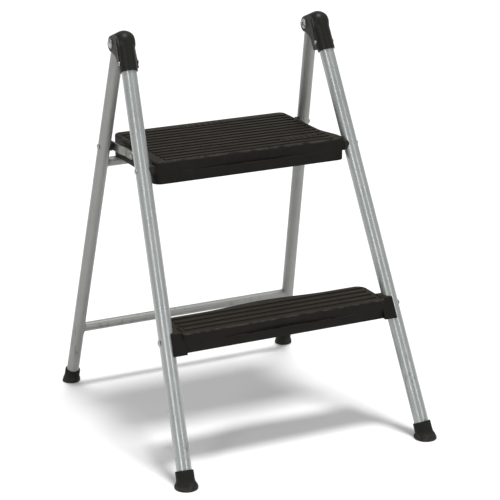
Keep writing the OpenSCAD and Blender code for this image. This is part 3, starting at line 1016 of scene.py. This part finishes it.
@dataclass
class UpperStep(StepMoulding):
    """The deep upper step, with flared front corners, pivot bosses and two grip pads."""

    back_half: float = 146 * MM
    link_face: float = 151.5 * MM
    flare_end: float = 64 * MM
    pivot: Vector = field(default_factory=Vector)
    stud: Vector = field(default_factory=Vector)

    @property
    def inner_half(self) -> float:
        """Half width of the step where its webs run."""
        return self.back_half

    def outline(self) -> list[tuple[float, float]]:
        """The outline: straight front, flared corners, straight sides and rounded back."""
        corner = 11 * MM
        front, back = self.low.y, self.high.y
        nose = self.nose
        flare = []
        for i in range(0, 13):
            t = i / 12
            x = self.half_width + (self.back_half - self.half_width) * smooth_step(t)
            flare.append((x, front + nose + 1 * MM + (self.flare_end - nose - 1 * MM) * t))
        right = arc((self.half_width - nose, front + nose), nose, -90, 0, 8)
        right += flare
        straight = back - corner - front - self.flare_end
        right += [(self.back_half, front + self.flare_end + straight * t)
                  for t in (0.33, 0.66)]
        right += arc((self.back_half - corner, back - corner), corner, 0, 90, 10)
        left = [(-x, y) for x, y in reversed(right)]
        return self.front_line() + right + left

    def add_ends(self, shape: bmesh.types.BMesh) -> None:
        """Adds the bosses round the pivots and the link studs."""
        for side in Side:
            turn = Matrix.Rotation(side.value * math.pi / 2, 4, "Y")
            pivot_end = self.half_width + 0.1 * MM
            for place, radius, start, stop in (
                    (self.pivot, 9 * MM, self.half_width - 9.2 * MM, pivot_end),
                    (self.stud, 8 * MM, self.back_half - 5.5 * MM, self.link_face)):
                lip = 0.8 * MM
                profile = [(3.05 * MM, start), (radius, start), (radius, stop - lip),
                           (radius - lip * 0.3, stop - lip * 0.3), (radius - lip, stop),
                           (3.05 * MM, stop), (3.05 * MM, start)]
                lathe(profile, Matrix.Translation((0, place.y, place.z)) @ turn, 40, shape)

    def grips(self) -> bpy.types.Object:
        """Two smooth pads with plain raised dashes, at the back middle and the front right."""
        shape = bmesh.new()
        for x, y, count, half in ((-0.004, self.high.y - 21 * MM, 7, 37 * MM),
                                  (0.092, self.low.y + 29 * MM, 6, 31 * MM)):
            pad = self.rows.grow("pad", {
                "First": (x, y, self.high.z - 1.0 * MM), "Step": (0.0, 0.0, 0.0),
                "Run": (2 * half, 0.0, 0.0), "Count": 1, "Width": 13 * MM, "Height": 2.2 * MM,
                "Round": 0.9 * MM, "Material": self.material})
            add_object(shape, pad)
            pitch = 2 * (half - 6 * MM) / (count - 1)
            dashes = self.rows.grow("dashes", {
                "First": (x - half + 6 * MM, y, self.high.z), "Step": (pitch, 0.0, 0.0),
                "Run": (0.0, 8.5 * MM, 0.0), "Count": count, "Width": 3.6 * MM, "Height": 1.6 * MM,
                "Round": 0.6 * MM, "Material": self.material})
            add_object(shape, dashes)
        return make_object(self.name + "_grips", shape, self.material)

    def build(self) -> None:
        """Builds the step, its pads and its webs."""
        super().build()
        enter(self.grips(), self.body, "step_plastic")


@dataclass
class LowerStep(StepMoulding):
    """The shallow lower step, bowed at the back, with saddles that hold the front legs."""

    skeleton: Skeleton | None = None
    bow: float = 8 * MM
    leg_radius: float = 11.15 * MM
    saddle_radius: float = 14.6 * MM
    saddle_cut: float = 3.5 * MM
    saddle_back: float = 6 * MM
    saddle_reach: float = 26 * MM

    def __post_init__(self) -> None:
        """Takes the front from the tread mount, because the saddles reach past it."""
        super().__post_init__()
        mounts = {m["name"]: Vector(m["pos_m"]) for m in frame["record"]["mounts"]}
        half_ribs = self.rib_count / 2 * self.rib_pitch
        self.low.y = mounts["lower_tread"].y - self.first_rib - half_ribs

    @property
    def end_depth(self) -> float:
        """Depth of the step at its ends."""
        return self.high.y - self.low.y - self.bow

    def outline(self) -> list[tuple[float, float]]:
        """The outline: straight front, rounded ends and a back edge that bows out."""
        corner, nose = 16 * MM, self.nose
        half, front = self.half_width, self.low.y
        back = front + self.end_depth
        right = arc((half - nose, front + nose), nose, -90, 0, 8)
        right += arc((half - corner, back - corner), corner, 0, 90, 12)
        reach = half - corner
        bowed = []
        for i in range(1, 40):
            x = reach * (1 - 2 * i / 40)
            t = min(1.0, abs(x) / (half - 60 * MM))
            bowed.append((x, back + self.bow * (1 + math.cos(math.pi * t)) / 2))
        left = [(-x, y) for x, y in reversed(right)]
        return self.front_line() + right + bowed + left

    def saddles(self) -> bpy.types.Object:
        """The blocks at the ends that wrap round the inner side of each front leg."""
        shape = bmesh.new()
        for side in Side:
            sign = side.value
            start = 270 - math.degrees(math.asin(self.saddle_cut / self.leg_radius))
            stop = 180 - math.degrees(math.asin(self.saddle_back / self.leg_radius))
            outline = arc((0, 0), self.leg_radius, start, stop, 24)
            outline += [(-self.saddle_reach, self.saddle_back), (-self.saddle_reach, -self.saddle_radius),
                        (-self.saddle_cut, -self.saddle_radius)]
            if sign < 0:
                outline = [(-x, y) for x, y in reversed(outline)]
            length = self.skeleton.front_length
            block = prism(outline, -length, -0.5 * length, self.skeleton.front_leg(side))
            cuts = ((Vector((0, 0, self.low.z)), Vector((0, 0, -1))),
                    (Vector((0, 0, self.plate_top)), Vector((0, 0, 1))),
                    (Vector((sign * (self.half_width - 4.6 * MM), 0, 0)), Vector((-sign, 0, 0))))
            for point, normal in cuts:
                self.trim(block, point, normal)
            obj = make_object("saddle", block, self.material)
            bevel(obj, 1.0 * MM, 3, 40)
            add_object(shape, obj)
        return make_object(self.name + "_saddles", shape, self.material)

    @staticmethod
    def trim(block: bmesh.types.BMesh, point: Vector, normal: Vector) -> None:
        """Cuts off what lies past a plane and closes the cut."""
        everything = block.verts[:] + block.edges[:] + block.faces[:]
        cut = bmesh.ops.bisect_plane(block, geom=everything, plane_co=point, plane_no=normal,
                                     clear_outer=True)
        edges = [e for e in cut["geom_cut"] if isinstance(e, bmesh.types.BMEdge)]
        bmesh.ops.contextual_create(block, geom=edges)

    def build(self) -> None:
        """Builds the step and its saddles."""
        super().build()
        enter(self.saddles(), self.body, "step_plastic")


# ---- Hinge caps -------------------------------------------------------------------


@dataclass
class HingeCap:
    """A moulded cap: a sleeve on the front leg that bends back into two hinge cheeks."""

    side: Side
    skeleton: Skeleton
    material: bpy.types.Material
    sleeve: float = 13.3 * MM
    bottom: float = -50 * MM
    dome_centre: tuple[float, float] = (4.93 * MM, -5.5 * MM)
    dome: float = 18.3 * MM
    cheek: float = 13 * MM
    half: float = 13 * MM
    slot: float = 10.6 * MM
    bore: float = 11.15 * MM
    rivet_down: float = 36.3 * MM
    roof: float = 13.4 * MM
    crown: float = 22 * MM
    crease_reach: float = 15.2 * MM
    voxel: float = 0.75 * MM

    def plane(self) -> Matrix:
        """Placement of the cap's side view: X to the back, Y up, Z to the right."""
        swap = Matrix(((0, 0, 1, 0), (1, 0, 0, 0), (0, 1, 0, 0), (0, 0, 0, 1)))
        shift = Matrix.Translation((self.side.value * self.skeleton.hinge_x, 0, 0))
        return self.skeleton.front_plane() @ shift @ swap

    def hinge(self) -> tuple[float, float]:
        """Place of the hinge in the side view."""
        return (self.skeleton.hinge_reach, 0.0)

    def web_outline(self) -> list[tuple[float, float]]:
        """Side outline of the cheeks below the hinge and of the web down to the sleeve."""
        hx = self.skeleton.hinge_reach
        sweep = arc((self.sleeve + 25 * MM, -self.rivet_down), 25 * MM, 118, 180, 12)
        outline = arc((hx, 0), self.cheek, -100, 25, 18)
        outline += [(hx - 6 * MM, 8 * MM), (0, 4 * MM), (-3 * MM, -20 * MM), (-3 * MM, -46 * MM),
                    (self.sleeve - 0.8 * MM, -46 * MM)]
        return outline + list(reversed(sweep))

    def arch(self) -> bmesh.types.BMesh:
        """The round top: a hull from the dome back to the hinge, flat at both cheeks."""
        form = bmesh.new()
        hx = self.skeleton.hinge_reach
        cx, cy = self.dome_centre
        ends = ((cx, cy, self.dome, self.dome, self.dome),
                (hx, 0.0, self.cheek, self.roof, self.crown))
        slices = 8
        for x, y, back, up, across in ends:
            for i in range(-slices, slices + 1):
                z = self.half * i / slices
                share = math.sqrt(1 - (z / across) ** 2)
                for u, v in arc((0, 0), share, 0, 360, 72)[:-1]:
                    form.verts.new((x + back * u, y + up * v, z))
        bmesh.ops.convex_hull(form, input=form.verts[:])
        loose = [v for v in form.verts if not v.link_faces]
        bmesh.ops.delete(form, geom=loose, context="VERTS")
        bmesh.ops.recalc_face_normals(form, faces=form.faces)
        bmesh.ops.transform(form, matrix=self.plane(), verts=form.verts)
        return form

    def body(self) -> bpy.types.Object:
        """The solid outer form, blended by a remesh and a light smoothing."""
        shape = self.arch()
        leg = self.skeleton.front_leg(self.side)
        lathe([(0, self.bottom - 6 * MM), (self.sleeve, self.bottom - 6 * MM),
               (self.sleeve, -6 * MM), (0, -6 * MM)], leg, 64, shape)
        obj = make_object("cap_form", shape)
        web = prism(self.web_outline(), -self.half, self.half, self.plane())
        plate = make_object("cap_plate", web)
        bevel(plate, 2.2 * MM, 3, 50)
        joined = bmesh.new()
        joined.from_mesh(obj.data)
        joined.from_mesh(plate.data)
        discard(plate)
        joined.to_mesh(obj.data)
        joined.free()
        remesh = obj.modifiers.new("blend", "REMESH")
        remesh.mode = "VOXEL"
        remesh.voxel_size = self.voxel
        soften = obj.modifiers.new("soften", "SMOOTH")
        soften.factor = 0.5
        soften.iterations = 7
        return bake_modifiers(obj)

    def slot_outline(self) -> list[tuple[float, float]]:
        """Side outline of the slot that the rear leg swings through."""
        hx = self.skeleton.hinge_reach
        radius = self.cheek - 2.1 * MM
        turn = self.skeleton.front_lean + self.skeleton.rear_lean
        far = 90 * MM
        swing = [(hx + radius * math.cos(turn) + far * math.sin(turn),
                  radius * math.sin(turn) - far * math.cos(turn))]
        top = arc((hx, 0), radius, math.degrees(turn), 180, 20)
        return [(hx - radius, -80 * MM), (hx + far, -80 * MM)] + swing + top

    def cutters(self) -> list[bpy.types.Object]:
        """The slot, the leg's bore, the flat end, the cheek creases and the hinge hole."""
        leg = self.skeleton.front_leg(self.side)
        slot = prism(self.slot_outline(), -self.slot, self.slot, self.plane())
        bore = lathe([(0, -90 * MM), (self.bore, -90 * MM), (self.bore, -8.8 * MM),
                      (0, -8.8 * MM)], leg, 64)
        end = lathe([(0, self.bottom - 30 * MM), (30 * MM, self.bottom - 30 * MM),
                     (30 * MM, self.bottom), (0, self.bottom)], leg, 48)
        tools = [make_object("slot_tool", slot), make_object("bore_tool", bore),
                 make_object("end_tool", end)]
        for way in (-1, 1):
            across = self.side.value * self.skeleton.hinge_x + way * self.crease_reach
            place = self.skeleton.front_plane() @ Matrix.Translation((across, -1 * MM, 0))
            crease = lathe([(0, -36 * MM), (3 * MM, -36 * MM), (3 * MM, 1 * MM), (0, 4 * MM)],
                           place, 28)
            tools.append(make_object("crease_tool", crease))
        x, y = self.hinge()
        hole = lathe([(0, -30 * MM), (3 * MM, -30 * MM), (3 * MM, 30 * MM), (0, 30 * MM)],
                     self.plane() @ Matrix.Translation((x, y, 0)), 24)
        tools.append(make_object("hole_tool", hole))
        return tools

    def build(self) -> None:
        """Builds the cap and enters it."""
        obj = self.body()
        cut_away(obj, self.cutters())
        obj.name = f"cap_{self.side.word}_moulding"
        obj.data.materials.clear()
        obj.data.materials.append(self.material)
        enter(obj, "front_frame", "cap_plastic", f"hinge_cap_{self.side.word}")


# ---- Feet -------------------------------------------------------------------------


@dataclass
class RubberFoot:
    """A rubber tip that turns from a level, bulging base into a sleeve along the leg."""

    name: str
    node: str
    body: str
    leg: Matrix
    place: Vector
    base: float
    bore: float
    height: float
    tip: float
    material: bpy.types.Material
    wall: float = 2.3 * MM

    def rows(self) -> list[tuple[float, float, float]]:
        """(distance up the leg, radius, turn towards the leg from 0 to 1) of each ring."""
        sleeve = self.bore + self.wall
        tall = self.height
        outer = [(0.0, self.base - 2.2 * MM, 0.0), (0.25, self.base - 1.2 * MM, 0.0), (0.9, self.base - 0.35 * MM, 0.0),
                 (2.0, self.base, 0.02), (3.4, self.base - 0.15 * MM, 0.06), (4.8, self.base - 0.75 * MM, 0.15),
                 (6.4, (self.base + sleeve) / 2 + 0.5 * MM, 0.35), (8.2, sleeve + 0.9 * MM, 0.6), (10.5, sleeve + 0.25 * MM, 0.85),
                 (13.0, sleeve, 1.0)]
        rows = [(up * MM, radius, turn) for up, radius, turn in outer]
        rows += [(tall * 0.6, sleeve, 1.0), (tall - 1.2 * MM, sleeve, 1.0),
                 (tall - 0.4 * MM, sleeve - 0.3 * MM, 1.0), (tall, sleeve - 1.0 * MM, 1.0),
                 (tall, self.bore + 0.3 * MM, 1.0), (tall - 0.5 * MM, self.bore, 1.0),
                 (self.tip + 4 * MM, self.bore, 1.0)]
        return rows

    def ring(self, up: float, radius: float, turn: float, segments: int = 56) -> Ring:
        """One ring of the tip: level at the base and square to the leg on the sleeve."""
        axis = (self.leg.to_3x3() @ Vector((0, 0, 1))).normalized()
        level = Vector((0, 0, 1)).rotation_difference(axis)
        tilt = Matrix.Identity(3).to_quaternion().slerp(level, turn)
        centre = Vector((self.place.x, self.place.y, 0)) + axis * up
        if turn == 0.0:
            centre.z = up
        points = []
        for i in range(segments):
            a = 2 * math.pi * i / segments
            points.append(centre + tilt @ Vector((radius * math.cos(a), radius * math.sin(a), 0)))
        return points

    def build(self) -> None:
        """Builds the tip with shallow grooves under its base and enters it."""
        shape = bmesh.new()
        rings = []
        for share, up in ((0.20, 0.0), (0.26, 0.7), (0.34, 0.7), (0.40, 0.0), (0.56, 0.0), (0.61, 0.7),
                          (0.68, 0.7), (0.73, 0.0)):
            rings.append(self.ring(up * MM, self.base * share, 0.0))
        for up, radius, turn in self.rows():
            rings.append(self.ring(up, radius, turn))
        loft(shape, rings)
        enter(make_object(self.name, shape, self.material, 50), self.body, "foot_rubber", self.node)


# ---- Rivets -----------------------------------------------------------------------


@dataclass
class RivetSet:
    """The rivets of one body: heads set by Geometry Nodes and plain shanks between them."""

    name: str
    body: str
    tree: PatternTree
    material: bpy.types.Material
    nodes: tuple[str, ...]
    seats: dict[Head, list[tuple[Vector, Vector, float]]] = field(default_factory=dict)
    shanks: list[tuple[Vector, Vector, float]] = field(default_factory=list)

    def add(self, head: Head, seat: Vector, aim: Vector, radius: float) -> None:
        """Adds a head of the given radius on a seat, facing along aim."""
        self.seats.setdefault(head, []).append((seat, aim.normalized(), radius))

    def add_shank(self, start: Vector, stop: Vector, radius: float) -> None:
        """Adds a plain shank between two points."""
        self.shanks.append((start, stop, radius))

    @staticmethod
    def head_profile(head: Head) -> list[tuple[float, float]]:
        """(radius, height) points of a head of radius 1."""
        if head is Head.DOME:
            crown = [(0.86 * math.cos(a), 0.10 + 0.26 * math.sin(a))
                     for a in (math.radians(v) for v in range(20, 90, 14))]
            return [(0, -0.02), (0.98, -0.02), (1.0, 0.04), (0.97, 0.13), (0.90, 0.17)] + crown + [(0, 0.36)]
        rim = [(0.72 + 0.26 * math.cos(a), 0.12 + 0.26 * math.sin(a))
               for a in (math.radians(v) for v in range(-30, 200, 20))]
        return [(0, -0.02), (0.9, -0.02)] + rim + [(0.46, -0.01), (0.40, -0.015), (0, -0.015)]

    def heads(self, head: Head) -> bpy.types.Object:
        """All heads of one kind as one mesh."""
        source = make_object("head", lathe(self.head_profile(head), Matrix.Identity(4), 36))
        seed = bmesh.new()
        aim_layer = seed.verts.layers.float_vector.new("aim")
        radius_layer = seed.verts.layers.float.new("radius")
        for seat, aim, radius in self.seats[head]:
            vert = seed.verts.new(seat)
            vert[aim_layer] = aim
            vert[radius_layer] = radius
        obj = self.tree.grow("heads", {"Head": source, "Material": self.material}, seed)
        discard(source)
        return obj

    def build(self) -> None:
        """Builds the heads and shanks as one piece and enters it."""
        shape = bmesh.new()
        for head in self.seats:
            add_object(shape, self.heads(head))
        for start, stop, radius in self.shanks:
            line = stop - start
            turn = Vector((0, 0, 1)).rotation_difference(line).to_matrix().to_4x4()
            lathe([(0, 0), (radius, 0), (radius, line.length), (0, line.length)],
                  Matrix.Translation(start) @ turn, 28, shape)
        enter(make_object(self.name, shape, self.material, 30), self.body, "rivet_zinc", *self.nodes)


@dataclass
class Rivets:
    """Every rivet and stud on the stool, sorted by the body that carries it."""

    skeleton: Skeleton
    material: bpy.types.Material
    tree: PatternTree

    def span(self, rivets: RivetSet, node: str, side: Side, outer: tuple[Head, float, float] | None,
             inner: tuple[Head, float, float] | None, shank: float) -> None:
        """Adds a rivet that lies along X, placed by the box of its frame node.

        Args:
            rivets: the set that gets it.
            node: the frame node that it stands for.
            side: the side that it is on.
            outer: head kind, radius and thickness at the outer end, or None.
            inner: the same at the inner end, or None.
            shank: radius of the shank.
        """
        low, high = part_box(node)
        middle = (low + high) / 2
        sign = side.value
        far, near = (high.x, low.x) if sign > 0 else (low.x, high.x)
        for end, spec, way in ((far, outer, sign), (near, inner, -sign)):
            if spec is None:
                continue
            head, radius, thick = spec
            rivets.add(head, Vector((end - way * thick, middle.y, middle.z)), Vector((way, 0, 0)), radius)
        start = far - sign * (outer[2] if outer else 0.0)
        stop = near + sign * (inner[2] if inner else 0.0)
        rivets.add_shank(Vector((stop, middle.y, middle.z)), Vector((start, middle.y, middle.z)), shank)

    def build(self) -> None:
        """Builds the rivets of each body."""
        dome, eyelet = Head.DOME, Head.EYELET
        names = {
            "front_frame": ("cap_rivet", "hinge_rivet", "pivot_rivet", "lower_step_rivet"),
            "rear_frame": ("link_rear_rivet",),
            "upper_step": ("link_stud",),
        }
        specs = {
            "cap_rivet": ((eyelet, 3.4, 1.0), (eyelet, 3.4, 1.0), 2.0),
            "hinge_rivet": ((dome, 6.2, 2.2), (eyelet, 5.8, 2.2), 3.0),
            "pivot_rivet": ((dome, 3.4, 1.6), (dome, 5.2, 1.6), 3.0),
            "lower_step_rivet": ((dome, 4.6, 1.6), (dome, 4.6, 1.4), 2.5),
            "link_rear_rivet": ((dome, 4.4, 1.6), (dome, 4.4, 1.2), 2.5),
            "link_stud": (None, (dome, 5.0, 1.4), 2.5),
            "link_front_rivet": ((dome, 3.4, 1.0), None, 2.5),
        }
        for body, stems in names.items():
            nodes = tuple(f"{stem}_{side.word}" for stem in stems for side in Side)
            rivets = RivetSet(f"{body}_rivets", body, self.tree, self.material, nodes)
            for stem in stems:
                for side in Side:
                    self.place(rivets, stem, side, specs[stem])
            rivets.build()
        for side in Side:
            node = f"link_front_rivet_{side.word}"
            body = f"link_{side.word}"
            rivets = RivetSet(f"{body}_rivet", body, self.tree, self.material, (node,))
            self.place(rivets, "link_front_rivet", side, specs["link_front_rivet"])
            rivets.build()

    def place(self, rivets: RivetSet, stem: str, side: Side, spec: tuple) -> None:
        """Adds one rivet from its specification in millimetres."""
        outer, inner, shank = spec
        scaled = [None if s is None else (s[0], s[1] * MM, s[2] * MM) for s in (outer, inner)]
        self.span(rivets, f"{stem}_{side.word}", side, scaled[0], scaled[1], shank * MM)


# ---- Studio -----------------------------------------------------------------------


@dataclass
class Studio:
    """A pale sweep of floor, soft lights and the camera."""

    azimuth: float = -26.6
    elevation: float = 18.2
    distance: float = 3.091
    focal: float = 143.3
    aim: Vector = field(default_factory=lambda: Vector((0.0421, 0.0529, -0.0628)))

    def camera(self) -> None:
        """Adds the camera, aimed near the middle of the stool."""
        middle = (CAD_BOX[0] + CAD_BOX[1]) / 2
        target = middle + self.aim
        a, e = math.radians(self.azimuth), math.radians(self.elevation)
        back = Vector((math.sin(a) * math.cos(e), -math.cos(a) * math.cos(e), math.sin(e)))
        data = bpy.data.cameras.new("camera")
        data.lens = self.focal
        data.sensor_width = 36
        data.clip_end = 100
        obj = bpy.data.objects.new("camera", data)
        obj.location = target + back * self.distance
        obj.rotation_euler = back.to_track_quat("Z", "Y").to_euler()
        bpy.context.scene.collection.objects.link(obj)
        bpy.context.scene.camera = obj

    def floor(self) -> None:
        """Adds the floor, a wide pale disc."""
        shape = bmesh.new()
        bmesh.ops.create_circle(shape, cap_ends=True, segments=96, radius=14)
        mix = Shading("studio_floor")
        shade = mix.span(mix.noise(0.8, 2), 0.3, 0.7)
        mix.feed("Base Color", mix.blend(shade, (0.90, 0.90, 0.90), (0.92, 0.92, 0.92)))
        mix.constant(Roughness=0.9, Specular_IOR_Level=0.1)
        floor = make_object("studio_floor", shape, mix.material)

    def light(self, name: str, place: Vector, size: tuple[float, float], power: float) -> None:
        """Adds a rectangular soft light that faces the stool."""
        data = bpy.data.lights.new(name, "AREA")
        data.shape = "RECTANGLE"
        data.size, data.size_y = size
        data.energy = power
        obj = bpy.data.objects.new(name, data)
        target = (CAD_BOX[0] + CAD_BOX[1]) / 2
        obj.location = place
        obj.rotation_euler = (place - target).to_track_quat("Z", "Y").to_euler()
        bpy.context.scene.collection.objects.link(obj)

    def sun(self) -> None:
        """Adds the broad overhead light that whitens the floor all the way back."""
        data = bpy.data.lights.new("overhead", "SUN")
        data.energy = 2.3
        data.angle = math.radians(13)
        obj = bpy.data.objects.new("overhead", data)
        obj.rotation_euler = (math.radians(4), math.radians(5), 0)
        bpy.context.scene.collection.objects.link(obj)

    def world(self) -> None:
        """Sets an even, pale surround."""
        world = bpy.data.worlds.new("studio_world")
        world.use_nodes = True
        background = world.node_tree.nodes["Background"]
        background.inputs["Color"].default_value = (1, 1, 1, 1)
        background.inputs["Strength"].default_value = 0.5
        bpy.context.scene.world = world
        bpy.context.scene.view_settings.view_transform = "Standard"

    def build(self) -> None:
        """Sets up the floor, lights, surround and camera."""
        self.camera()
        self.floor()
        self.world()
        self.sun()
        self.light("left_strip", Vector((-2.6, -2.0, 1.4)), (0.35, 2.2), 20)
        self.light("right_strip", Vector((1.2, -3.2, 1.4)), (0.35, 2.2), 16)


# ---- Assembly ---------------------------------------------------------------------


def keep_frame_shapes(palette: Palette) -> None:
    """Dresses the frame nodes whose shapes stay as they are."""
    dress(palette.paint, *(f"front_leg_{s.word}" for s in Side))
    dress(palette.rear_paint, *(f"rear_leg_{s.word}" for s in Side),
          "upper_crossbar", "lower_crossbar")
    dress(palette.link, *(f"link_{s.word}" for s in Side))
    dress(palette.rivet, "hinge_washers")
    dress(palette.cap, *(f"pivot_spacer_{s.word}" for s in Side),
          *(f"link_spacer_{s.word}" for s in Side))
    dress(palette.nylon, *(f"hinge_bush_{s.word}" for s in Side))


def main() -> None:
    """Builds the studio and every piece of the stool, in order."""
    logging.basicConfig(level=logging.INFO, format="%(name)s: %(message)s")
    skeleton = Skeleton.from_frame(frame["record"])
    palette = Palette.build()
    Studio().build()
    keep_frame_shapes(palette)
    rows = bar_row_tree()
    low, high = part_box("link_stud_right")
    stud = (low + high) / 2
    UpperStep(name="upper_step_moulding", body="upper_step", node="upper_step", material=palette.tread,
              rows=rows, half_width=157 * MM, rib_count=12, rib_pitch=14.1 * MM, first_rib=7.9 * MM,
              rib_margin=18 * MM, corner_radius=12 * MM, top_radius=3.2 * MM,
              hollow_half=108 * MM, web_lines=(44 * MM, 88 * MM, 132 * MM),
              pivot=skeleton.pivot, stud=stud).build()
    LowerStep(name="lower_step_moulding", body="front_frame", node="lower_step", material=palette.tread,
              rows=rows, half_width=167.5 * MM, rib_count=4, rib_pitch=15.5 * MM, first_rib=16.8 * MM,
              rib_margin=9 * MM, hollow_half=112 * MM, web_lines=(24 * MM, 47 * MM),
              skeleton=skeleton).build()
    for side in Side:
        HingeCap(side, skeleton, palette.cap).build()
        mirror = Vector((side.value, 1, 1))
        front = Vector(a * b for a, b in zip(skeleton.front_foot, mirror))
        rear = Vector(a * b for a, b in zip(skeleton.rear_foot, mirror))
        RubberFoot(f"front_tip_{side.word}", f"front_foot_{side.word}", "front_frame",
                   skeleton.front_leg(side), front, 17.25 * MM, 11.15 * MM, 25 * MM, 7.9 * MM,
                   palette.rubber).build()
        RubberFoot(f"rear_tip_{side.word}", f"rear_foot_{side.word}", "rear_frame",
                   skeleton.rear_leg(side), rear, 14.25 * MM, 9.6 * MM, 23 * MM, 6.9 * MM,
                   palette.rubber).build()
    Rivets(skeleton, palette.rivet, rivet_tree()).build()


if __name__ == "__main__":
    main()
